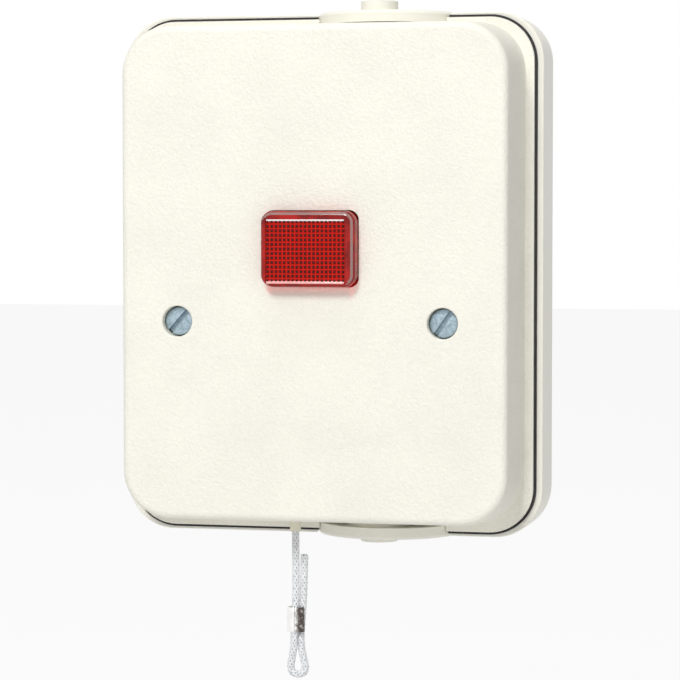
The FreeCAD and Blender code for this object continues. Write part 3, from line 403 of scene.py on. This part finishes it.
def added(name):
    """Name the primitive just added and put its place into its mesh."""
    piece = bpy.context.active_object
    piece.name = name
    piece.data.name = name
    take(piece)
    bpy.ops.object.transform_apply(location=True, rotation=True, scale=True)
    return piece


def edit(piece, kind="FACE"):
    take(piece)
    bpy.ops.object.mode_set(mode="EDIT")
    bpy.ops.mesh.select_mode(type=kind)
    bpy.ops.mesh.select_all(action="DESELECT")


def pick(piece, test, kind="faces"):
    """Select, in edit mode, the faces or vertices that pass a test."""
    shape = bmesh.from_edit_mesh(piece.data)
    for part in getattr(shape, kind):
        place = part.calc_center_median() if kind == "faces" else part.co
        part.select_set(test(place, part.normal))
    if kind == "verts":
        shape.select_flush(True)
    bmesh.update_edit_mesh(piece.data)


def leave(piece):
    bpy.ops.object.mode_set(mode="OBJECT")
    take(piece)


def shape_with(piece, kind, **settings):
    """Add a modifier and apply it."""
    take(piece)
    change = piece.modifiers.new(kind.lower(), kind)
    for key, value in settings.items():
        setattr(change, key, value)
    bpy.ops.object.modifier_apply(modifier=change.name)


def smooth(piece, angle=35):
    take(piece)
    bpy.ops.object.shade_smooth_by_angle(angle=math.radians(angle))


def join(pieces, name):
    take(pieces[0])
    for piece in pieces:
        piece.select_set(True)
    if len(pieces) > 1:
        bpy.ops.object.join()
    made = bpy.context.active_object
    made.name = name
    made.data.name = name
    return made


# ---- pull cord --------------------------------------------------------------------------------

CORD_DIAMETER = 1.76 * MM
CORD_ROUTE = [
    (-6.70, -20.0, -17.3),
    (-6.77, -20.0, -39.9),
    (-6.62, -20.0, -62.6),
    (-6.62, -20.0, -73.4),
    (-6.95, -20.3, -80.8),
    (-7.00, -20.3, -84.2),
    (-8.25, -20.1, -90.0),
    (-3.95, -19.7, -90.0),
    (-5.65, -19.1, -84.2),
    (-5.70, -19.1, -80.8),
    (-5.10, -19.1, -73.4),
    (-4.92, -19.1, -68.0),
    (-4.80, -19.1, -63.0),
]
CARRIERS = 6
BRAID_LAY = 8.2 * MM
THREAD_HALF_WIDE = 0.235 * MM
THREAD_HALF_THICK = 0.11 * MM
THREAD_WAVE = 0.08 * MM
THREAD_SIDES = 5
CORE_SHARE = 0.8
CORE_SIDES = 10
CORE_EVERY = 4
# painted shade tones for the core and the greyer carriers; the white tones differ by carrier
CORE_PAINTED_SHADE_TONE = -0.15
GREY_PAINTED_SHADE_TONE = 0.45
WHITE_TONE = 0.75
STEP = 0.125 * MM


def route_line(points):
    """Points along the smooth line that has the route's points as its control points."""
    curve = bpy.data.curves.new("route", "CURVE")
    curve.dimensions = "3D"
    curve.resolution_u = 24
    spline = curve.splines.new("NURBS")
    spline.points.add(len(points) - 1)
    for spot, point in zip(spline.points, points):
        spot.co = (*point, 1)
    spline.order_u = 3
    spline.use_endpoint_u = True
    holder = bpy.data.objects.new("route", curve)
    line = bpy.data.meshes.new_from_object(holder)
    found = [vertex.co.copy() for vertex in line.vertices]
    bpy.data.meshes.remove(line)
    bpy.data.objects.remove(holder)
    bpy.data.curves.remove(curve)
    return found


def even_steps(line, step):
    """The same line with points a step apart, and each point's distance along it."""
    lengths = [0.0]
    for first, second in zip(line, line[1:]):
        lengths.append(lengths[-1] + (second - first).length)
    count = max(2, round(lengths[-1] / step))
    points = []
    spot = 0
    for number in range(count + 1):
        along = lengths[-1] * number / count
        while spot < len(line) - 2 and lengths[spot + 1] < along:
            spot += 1
        share = (along - lengths[spot]) / (lengths[spot + 1] - lengths[spot])
        points.append((line[spot].lerp(line[spot + 1], share), along))
    return points


def frames_along(points):
    """At each point: its place, distance along, direction and two directions across."""
    frames = []
    across = Vector((1, 0, 0))
    for number, (place, along) in enumerate(points):
        before = points[max(number - 1, 0)][0]
        after = points[min(number + 1, len(points) - 1)][0]
        ahead = (after - before).normalized()
        across = (across - ahead * across.dot(ahead)).normalized()
        frames.append((place, along, ahead, across, ahead.cross(across)))
    return frames


class Tubes:
    """Collects tubes into one mesh, with a map along each and a tone for each."""

    def __init__(self):
        self.points, self.faces, self.spots, self.tones = [], [], [], []

    def add(self, rings, tone, lengths):
        """Join rings of points, each given in the same order round, and close both ends."""
        sides = len(rings[0])
        first = len(self.points)
        for ring, along in zip(rings, lengths):
            self.points.extend(ring)
            self.spots.extend((side / sides, along / MM) for side in range(sides))
            self.tones.extend([tone] * sides)
        for number in range(len(rings) - 1):
            low = first + number * sides
            for side in range(sides):
                other = (side + 1) % sides
                self.faces.append((low + side, low + other, low + sides + other, low + sides + side))
        self.faces.append(tuple(first + side for side in reversed(range(sides))))
        last = first + (len(rings) - 1) * sides
        self.faces.append(tuple(last + side for side in range(sides)))

    def piece(self, name):
        mesh = bpy.data.meshes.new(name)
        mesh.from_pydata(self.points, [], self.faces)
        tones = mesh.attributes.new("thread", "FLOAT", "POINT")
        tones.data.foreach_set("value", self.tones)
        spots = mesh.uv_layers.new(name="strand")
        for corner in mesh.loops:
            spots.data[corner.index].uv = self.spots[corner.vertex_index]
        mesh.update()
        made = bpy.data.objects.new(name, mesh)
        bpy.context.scene.collection.objects.link(made)
        return made


def braid(name, line, radius):
    """A hollow braid of flat threads over a core toned dark as painted shade, along a line."""
    frames = frames_along(even_steps(line, STEP))
    tubes = Tubes()
    lengths = [along for _, along, *_ in frames]
    middle = radius - THREAD_HALF_THICK - THREAD_WAVE
    for hand in (1, -1):
        for carrier in range(CARRIERS):
            rings = []
            for place, along, ahead, right, up in frames:
                turn = 2 * math.pi * (hand * along / BRAID_LAY + carrier / CARRIERS)
                out = right * math.cos(turn) + up * math.sin(turn)
                round_way = up * math.cos(turn) - right * math.sin(turn)
                wave = hand * math.cos(2 * math.pi * CARRIERS * along / BRAID_LAY)
                centre = place + out * (middle + THREAD_WAVE * wave)
                pitch = hand * 2 * math.pi * middle / BRAID_LAY
                wide = (round_way - ahead * pitch).normalized()
                rings.append([
                    centre
                    + wide * (THREAD_HALF_WIDE * math.cos(2 * math.pi * side / THREAD_SIDES))
                    + out * (THREAD_HALF_THICK * math.sin(2 * math.pi * side / THREAD_SIDES))
                    for side in reversed(range(THREAD_SIDES))
                ])
            # painted shade: every other carrier of one hand gets the grey tone
            greyer = carrier % 2 and hand > 0
            tone = GREY_PAINTED_SHADE_TONE if greyer else WHITE_TONE + (1 - WHITE_TONE) * (carrier % 3) / 2
            tubes.add(rings, tone, lengths)
    # the core is toned dark as painted shade seen between the threads
    core = CORE_SHARE * middle
    spaced = frames[::CORE_EVERY] + frames[-1:]
    rings = [
        [
            place
            + right * (core * math.cos(2 * math.pi * side / CORE_SIDES))
            + up * (core * math.sin(2 * math.pi * side / CORE_SIDES))
            for side in range(CORE_SIDES)
        ]
        for place, _, _, right, up in spaced
    ]
    tubes.add(rings, CORE_PAINTED_SHADE_TONE, [along for _, along, *_ in spaced])
    made = tubes.piece(name)
    give(made, "cord")
    smooth(made, 60)
    return made


def make_cord():
    line = route_line([Vector(point) * MM for point in CORD_ROUTE])
    cord = braid("braided_cord", line, CORD_DIAMETER / 2)
    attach(cord, "cord")
    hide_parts("pull_cord")
    length = sum((second - first).length for first, second in zip(line, line[1:]))
    return cord, line, length


KNOT_SPREAD = 0.46 * MM
KNOT_RISE = 0.72 * MM
KNOT_POINTS = 36
KNOT_CORD = 0.48


def make_knot():
    """A tight overhand knot, in the room of the CAD's stopper."""
    low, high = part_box("cord_knot")
    middle = (low + high) / 2
    line = []
    for number in range(KNOT_POINTS + 1):
        turn = 2 * math.pi * number / KNOT_POINTS
        line.append(middle + Vector((
            KNOT_SPREAD * (math.sin(turn) + 2 * math.sin(2 * turn)),
            KNOT_SPREAD * (math.cos(turn) - 2 * math.cos(2 * turn)),
            -KNOT_RISE * math.sin(3 * turn),
        )))
    knot = braid("tied_knot", line, KNOT_CORD * CORD_DIAMETER)
    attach(knot, "cord")
    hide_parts("cord_knot")
    return knot


CRIMP_WALL = 0.27 * MM
CRIMP_SIDES = 48
CRIMP_RINGS = 6
CRIMP_BEVEL = 0.06 * MM
SEAM_ACROSS = 0.18 * MM
SEAM_HALF = 0.3 * MM
LIP_REACH = 0.6 * MM
LIP_MOVE = (-0.5 * MM, 0.22 * MM, 0)
PINCH_BAND = 0.1
# where the crimp's painted dark side begins, and how wide its blend is
PAINTED_SHADE_ACROSS = 0.3 * MM
PAINTED_SHADE_WIDE = 0.7 * MM
PINCH = (1.0, 0.86, 1.0)


def make_crimp():
    """A metal strip folded round the two strands, lapped at the front and pinched by a tool."""
    low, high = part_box("crimp_ferrule")
    middle = (low + high) / 2
    radius = (high.y - low.y) / 2
    shift = (high.x - low.x) / 2 - radius
    tall = high.z - low.z
    bpy.ops.mesh.primitive_cylinder_add(
        vertices=CRIMP_SIDES, radius=radius, depth=tall, end_fill_type="NOTHING", location=middle
    )
    crimp = added("crimp_strip")
    edit(crimp, "VERT")
    for side in (1, -1):
        pick(crimp, lambda at, _: side * (at.x - middle.x) > 1e-6, "verts")
        bpy.ops.transform.translate(value=(side * shift, 0, 0))
    for ring in range(1, CRIMP_RINGS):
        bpy.ops.mesh.select_all(action="SELECT")
        height = low.z + tall * ring / CRIMP_RINGS
        bpy.ops.mesh.bisect(plane_co=(0, 0, height), plane_no=(0, 0, 1))
    bpy.ops.mesh.select_mode(type="FACE")
    seam = middle.x + SEAM_ACROSS
    pick(crimp, lambda at, n: n.y < -0.9 and abs(at.x - seam) < SEAM_HALF)
    bpy.ops.mesh.delete(type="FACE")
    bpy.ops.mesh.select_mode(type="VERT")
    pick(crimp, lambda at, _: at.y < middle.y and 0 < at.x - seam < LIP_REACH, "verts")
    bpy.ops.transform.translate(value=LIP_MOVE)
    pick(crimp, lambda at, _: abs(at.z - middle.z) < PINCH_BAND * tall, "verts")
    bpy.ops.transform.resize(value=PINCH, center_override=middle)
    leave(crimp)
    shape_with(crimp, "SOLIDIFY", thickness=CRIMP_WALL, offset=-1)
    shape_with(crimp, "BEVEL", width=CRIMP_BEVEL, segments=2, limit_method="ANGLE")
    smooth(crimp)
    # the crimp's darker right-hand side is a painted dark reflection
    MATERIALS["tin"] = tin_painted_dark_side("crimp_tin_painted_dark_side", middle.x + PAINTED_SHADE_ACROSS, PAINTED_SHADE_WIDE)
    give(crimp, "tin")
    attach(crimp, "cord")
    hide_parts("crimp_ferrule")
    return crimp


cord, cord_line, cord_length = make_cord()
knot = make_knot()
crimp = make_crimp()

# ---- indicator lens ---------------------------------------------------------------------------

PRISM_COLUMNS = 19
PRISM_ROWS = 14
PRISM_PITCH = 0.94 * MM
ROW_PITCH = 0.99 * MM
PRISM_HIGH = 0.4 * MM
LENS_WIDE = 21.2 * MM
LENS_TALL = 16.6 * MM
LENS_CORNER = 2.6 * MM
LENS_EDGE = 1.2 * MM
LENS_FOOT_DEEP = 1.4 * MM
WINDOW_SINK = 0.5 * MM
WINDOW_OFFSET = -0.45 * MM
WINDOW_LOWER = 0.5 * MM
PRISM_GAP = 0.02 * MM
PRISM_BACKING = 0.3 * MM
PRISM_STEPS = ((0.06, 0.0), (0.17, 0.55), (0.1, 0.35))
BEAD_RADIUS = 0.36 * MM
BEAD_BEVEL = 0.14 * MM
BEAD_SIDES = 20
# which fillet faces get the painted glint: sloping forward, and turned up or right
PAINTED_GLINT_SLOPE = (-0.93, -0.72)
PAINTED_GLINT_ASIDE = 0.2


def rounded_slab(name, wide, tall, corner, back, front, middle):
    """A slab between two depths with rounded upright corners."""
    bpy.ops.mesh.primitive_cube_add(
        size=1, location=(middle.x, (front + back) / 2, middle.z), scale=(wide, back - front, tall)
    )
    slab = added(name)
    edit(slab, "EDGE")
    shape = bmesh.from_edit_mesh(slab.data)
    for edge in shape.edges:
        ends = [vertex.co for vertex in edge.verts]
        edge.select_set(abs(ends[0].y - ends[1].y) > (back - front) / 2)
    bmesh.update_edit_mesh(slab.data)
    bpy.ops.mesh.bevel(offset=corner, segments=10, affect="EDGES")
    leave(slab)
    return slab


def make_lens():
    """The lens: a rounded red block on a wider foot, with a sunk window for the prisms."""
    low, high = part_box("indicator_lens")
    middle = (low + high) / 2
    foot = rounded_slab(
        "lens_foot", high.x - low.x, high.z - low.z, LENS_CORNER, high.y, high.y - LENS_FOOT_DEEP, middle
    )
    block = rounded_slab("lens_block", LENS_WIDE, LENS_TALL, LENS_CORNER, high.y, low.y, middle)
    edit(block)
    pick(block, lambda at, n: n.y < -0.9)
    bpy.ops.mesh.bevel(offset=LENS_EDGE, segments=6, affect="EDGES")
    leave(block)
    place = middle + Vector((WINDOW_OFFSET, 0, -WINDOW_LOWER))
    bpy.ops.mesh.primitive_cube_add(
        size=1, location=(place.x, low.y, place.z),
        scale=(PRISM_COLUMNS * PRISM_PITCH, 2 * WINDOW_SINK, PRISM_ROWS * ROW_PITCH),
    )
    cutter = added("window_cutter")
    shape_with(block, "BOOLEAN", object=cutter, operation="DIFFERENCE", solver="EXACT")
    shape_with(block, "BOOLEAN", object=foot, operation="UNION", solver="EXACT")
    for used in (cutter, foot):
        bpy.data.objects.remove(used)
    block.name = "lens_body"
    smooth(block, 28)
    give(block, "lens")
    # painted highlight: sloping fillet faces on the top and right take the pale painted glint material
    block.data.materials.append(MATERIALS["lens painted glint"])
    for face in block.data.polygons:
        sloping = PAINTED_GLINT_SLOPE[0] < face.normal.y < PAINTED_GLINT_SLOPE[1]
        if sloping and max(face.normal.x, face.normal.z) > PAINTED_GLINT_ASIDE:
            face.material_index = 1
    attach(block, "casing")
    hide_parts("indicator_lens")
    make_prisms(place, low.y + WINDOW_SINK)
    make_painted_highlight_beads(place, low.y)


def make_prisms(place, front):
    """A grid of small square pyramids with flat tips, filling the sunk window; their tip depth sets the
    painted shade.
    """
    wide, tall = PRISM_COLUMNS * PRISM_PITCH, PRISM_ROWS * ROW_PITCH
    depth = front - PRISM_GAP
    bpy.ops.mesh.primitive_grid_add(
        x_subdivisions=PRISM_COLUMNS, y_subdivisions=PRISM_ROWS, size=1,
        location=(place.x, depth, place.z), rotation=(math.pi / 2, 0, 0),
    )
    bpy.context.active_object.scale = (wide, tall, 1)
    plate = added("lens_prisms")
    edit(plate)
    bpy.ops.mesh.select_all(action="SELECT")
    for narrower, higher in PRISM_STEPS:
        bpy.ops.mesh.inset(
            thickness=narrower * PRISM_PITCH, depth=higher * PRISM_HIGH, use_individual=True
        )
    leave(plate)
    # tip depth, which the prism material turns into painted shade
    tips = plate.data.attributes.new("tip", "FLOAT", "POINT")
    tips.data.foreach_set(
        "value", [(depth - vertex.co.y) / PRISM_HIGH for vertex in plate.data.vertices]
    )
    shape_with(plate, "SOLIDIFY", thickness=PRISM_BACKING, offset=-1)
    give(plate, "prism")
    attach(plate, "casing")


def make_painted_highlight_beads(place, front):
    """Round beads along the top and bottom of the window, coloured as painted highlights, whiter on top.
    """
    reach = PRISM_COLUMNS * PRISM_PITCH / 2
    for side, word in ((1, "top"), (-1, "bottom")):
        height = place.z + side * (PRISM_ROWS * ROW_PITCH / 2 - 0.2 * BEAD_RADIUS)
        bpy.ops.mesh.primitive_cylinder_add(
            vertices=BEAD_SIDES, radius=BEAD_RADIUS, depth=2 * reach - BEAD_RADIUS,
            location=(place.x, front + 1.05 * BEAD_RADIUS, height), rotation=(0, math.pi / 2, 0),
        )
        bead = added(f"lens_bead_{word}")
        shape_with(bead, "BEVEL", width=BEAD_BEVEL, segments=3, limit_method="ANGLE")
        smooth(bead)
        # each bead takes its painted highlight colour
        give(bead, f"{word} bead")
        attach(bead, "casing")


make_lens()

# ---- cover screws -----------------------------------------------------------------------------

SCREW_HEAD_HIGH = 2.2 * MM
SCREW_HEAD_RADIUS = 3.1 * MM
SCREW_RADIUS = 1.75 * MM
THREAD_PITCH = 0.6 * MM
SLOT_WIDE = 1.1 * MM
SLOT_DEEP = 1.1 * MM
SLOT_TURNS = (-48, -55)
SLOT_LONG = 8 * MM
FACE_INSET = 0.5 * MM
FACE_RISE = 0.12 * MM
HEAD_BEVEL = 0.16 * MM
NECK_LONG = 3 * MM


def make_cover_screw(number, across, height, front, tip, turn):
    """One slotted screw: bevelled cheese head with a cut slot, plain neck and rolled thread."""
    bpy.ops.mesh.primitive_cylinder_add(
        vertices=64, radius=SCREW_HEAD_RADIUS, depth=SCREW_HEAD_HIGH,
        location=(across, front + SCREW_HEAD_HIGH / 2, height), rotation=(math.pi / 2, 0, 0),
    )
    head = added(f"screw_head_{number}")
    edit(head)
    pick(head, lambda at, n: n.y < -0.9)
    bpy.ops.mesh.inset(thickness=FACE_INSET)
    bpy.ops.transform.translate(value=(0, -FACE_RISE, 0))
    leave(head)
    bpy.ops.mesh.primitive_cube_add(
        size=1, location=(across, front - 0.2 * MM + SLOT_DEEP / 2, height),
        rotation=(0, math.radians(turn), 0), scale=(SLOT_LONG, SLOT_DEEP + 0.4 * MM, SLOT_WIDE),
    )
    cutter = added(f"slot_cutter_{number}")
    shape_with(head, "BOOLEAN", object=cutter, operation="DIFFERENCE", solver="EXACT")
    bpy.data.objects.remove(cutter)
    shape_with(head, "BEVEL", width=HEAD_BEVEL, segments=3, limit_method="ANGLE", angle_limit=0.6)
    neck = front + SCREW_HEAD_HIGH
    bpy.ops.mesh.primitive_cylinder_add(
        vertices=40, radius=SCREW_RADIUS * 0.97, depth=NECK_LONG,
        location=(across, neck + NECK_LONG / 2 - 0.1 * MM, height), rotation=(math.pi / 2, 0, 0),
    )
    shank = added(f"screw_neck_{number}")
    start = neck + NECK_LONG - 0.2 * MM
    turns = int((tip - start) / THREAD_PITCH) - 1
    thread = thread_piece(f"screw_thread_{number}", across, height, start, turns)
    return [head, shank, thread]


def thread_piece(name, across, height, start, turns):
    """A rolled thread, spun from one pitch of its outline about the screw's axis."""
    root = 0.8 * SCREW_RADIUS
    outline = [(root, 0), (0.99 * SCREW_RADIUS, 0.42), (0.99 * SCREW_RADIUS, 0.58), (root, 1)]
    mesh = bpy.data.meshes.new(name)
    mesh.from_pydata(
        [(radius, 0, share * THREAD_PITCH) for radius, share in outline],
        [(0, 1), (1, 2), (2, 3)], [],
    )
    piece = bpy.data.objects.new(name, mesh)
    bpy.context.scene.collection.objects.link(piece)
    shape_with(
        piece, "SCREW", steps=28, render_steps=28, iterations=turns, screw_offset=THREAD_PITCH,
        use_merge_vertices=True, merge_threshold=1e-6,
    )
    piece.matrix_world = (
        Matrix.Translation((across, start, height)) @ Matrix.Rotation(-math.pi / 2, 4, "X")
    )
    take(piece)
    bpy.ops.object.transform_apply(location=True, rotation=True, scale=True)
    edit(piece)
    bpy.ops.mesh.select_mode(type="EDGE")
    bpy.ops.mesh.select_non_manifold()
    bpy.ops.mesh.fill()
    bpy.ops.mesh.select_all(action="SELECT")
    bpy.ops.mesh.normals_make_consistent(inside=False)
    leave(piece)
    return piece


def make_cover_screws():
    low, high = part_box("cover_screws")
    height = (low.z + high.z) / 2
    places = (low.x + SCREW_HEAD_RADIUS, high.x - SCREW_HEAD_RADIUS)
    pieces = []
    for number, (across, turn) in enumerate(zip(places, SLOT_TURNS), 1):
        pieces += make_cover_screw(number, across, height, low.y, high.y, turn)
    screws = join(pieces, "turned_cover_screws")
    smooth(screws, 30)
    give(screws, "zinc")
    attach(screws, "casing")
    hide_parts("cover_screws")


make_cover_screws()

# ---- floor and light --------------------------------------------------------------------------

FLOOR_DROP = 0.06
FLOOR_SIZE = 8.0
FLOOR_GREY = (0.86, 0.86, 0.86, 1)
FLOOR_GLOW = 0.9
WHITE = (1, 1, 1, 1)
AMBIENT = 0.33
LAMPS = (
    ("key_softbox", (-0.1, -1.1, 0.85), 0.34, 11.3),
    ("fill_softbox", (0.9, -0.8, 0.25), 0.9, 1.1),
    ("top_softbox", (0.0, -0.1, 1.1), 0.5, 3.0),
)


def seen_share(tree, link):
    """1 for what the camera sees, straight, in a reflection or through glass, and otherwise 0."""
    path = tree.nodes.new("ShaderNodeLightPath")
    seen = None
    for ray in ("Is Camera Ray", "Is Glossy Ray", "Is Transmission Ray"):
        if seen is None:
            seen = path.outputs[ray]
            continue
        either = tree.nodes.new("ShaderNodeMath")
        either.operation = "MAXIMUM"
        link(seen, either.inputs[0])
        link(path.outputs[ray], either.inputs[1])
        seen = either.outputs[0]
    return seen


def make_floor():
    bpy.ops.mesh.primitive_plane_add(size=FLOOR_SIZE, location=(0, 0, cad_bounds[0].z - FLOOR_DROP))
    floor = added("floor")
    made = bpy.data.materials.new("floor_white")
    made.use_nodes = True
    tree = made.node_tree
    link = tree.links.new
    shader = tree.nodes["Principled BSDF"]
    shader.inputs["Base Color"].default_value = FLOOR_GREY
    shader.inputs["Roughness"].default_value = 0.8
    glow = tree.nodes.new("ShaderNodeEmission")
    amount = tree.nodes.new("ShaderNodeMath")
    amount.operation = "MULTIPLY"
    amount.inputs[1].default_value = FLOOR_GLOW
    link(seen_share(tree, link), amount.inputs[0])
    mix = tree.nodes.new("ShaderNodeMixShader")
    link(amount.outputs[0], mix.inputs[0])
    link(shader.outputs[0], mix.inputs[1])
    link(glow.outputs[0], mix.inputs[2])
    link(mix.outputs[0], tree.nodes["Material Output"].inputs["Surface"])
    floor.data.materials.append(made)


def make_world():
    world = bpy.data.worlds.new("studio")
    bpy.context.scene.world = world
    world.use_nodes = True
    tree = world.node_tree
    link = tree.links.new
    plain = tree.nodes["Background"]
    plain.inputs["Strength"].default_value = AMBIENT
    plain.inputs["Color"].default_value = WHITE
    white = tree.nodes.new("ShaderNodeBackground")
    white.inputs["Color"].default_value = WHITE
    mix = tree.nodes.new("ShaderNodeMixShader")
    link(seen_share(tree, link), mix.inputs[0])
    link(plain.outputs[0], mix.inputs[1])
    link(white.outputs[0], mix.inputs[2])
    link(mix.outputs[0], tree.nodes["World Output"].inputs["Surface"])


def make_lamp(name, place, size, watts):
    lamp = bpy.data.lights.new(name, "AREA")
    lamp.size = size
    lamp.energy = watts
    holder = bpy.data.objects.new(name, lamp)
    bpy.context.scene.collection.objects.link(holder)
    holder.location = place
    aim = VIEW_AIM - Vector(place)
    holder.rotation_euler = aim.to_track_quat("-Z", "Y").to_euler()


make_floor()
make_world()
for lamp_sizes in LAMPS:
    make_lamp(*lamp_sizes)

view = bpy.context.scene.view_settings
view.view_transform = "Standard"
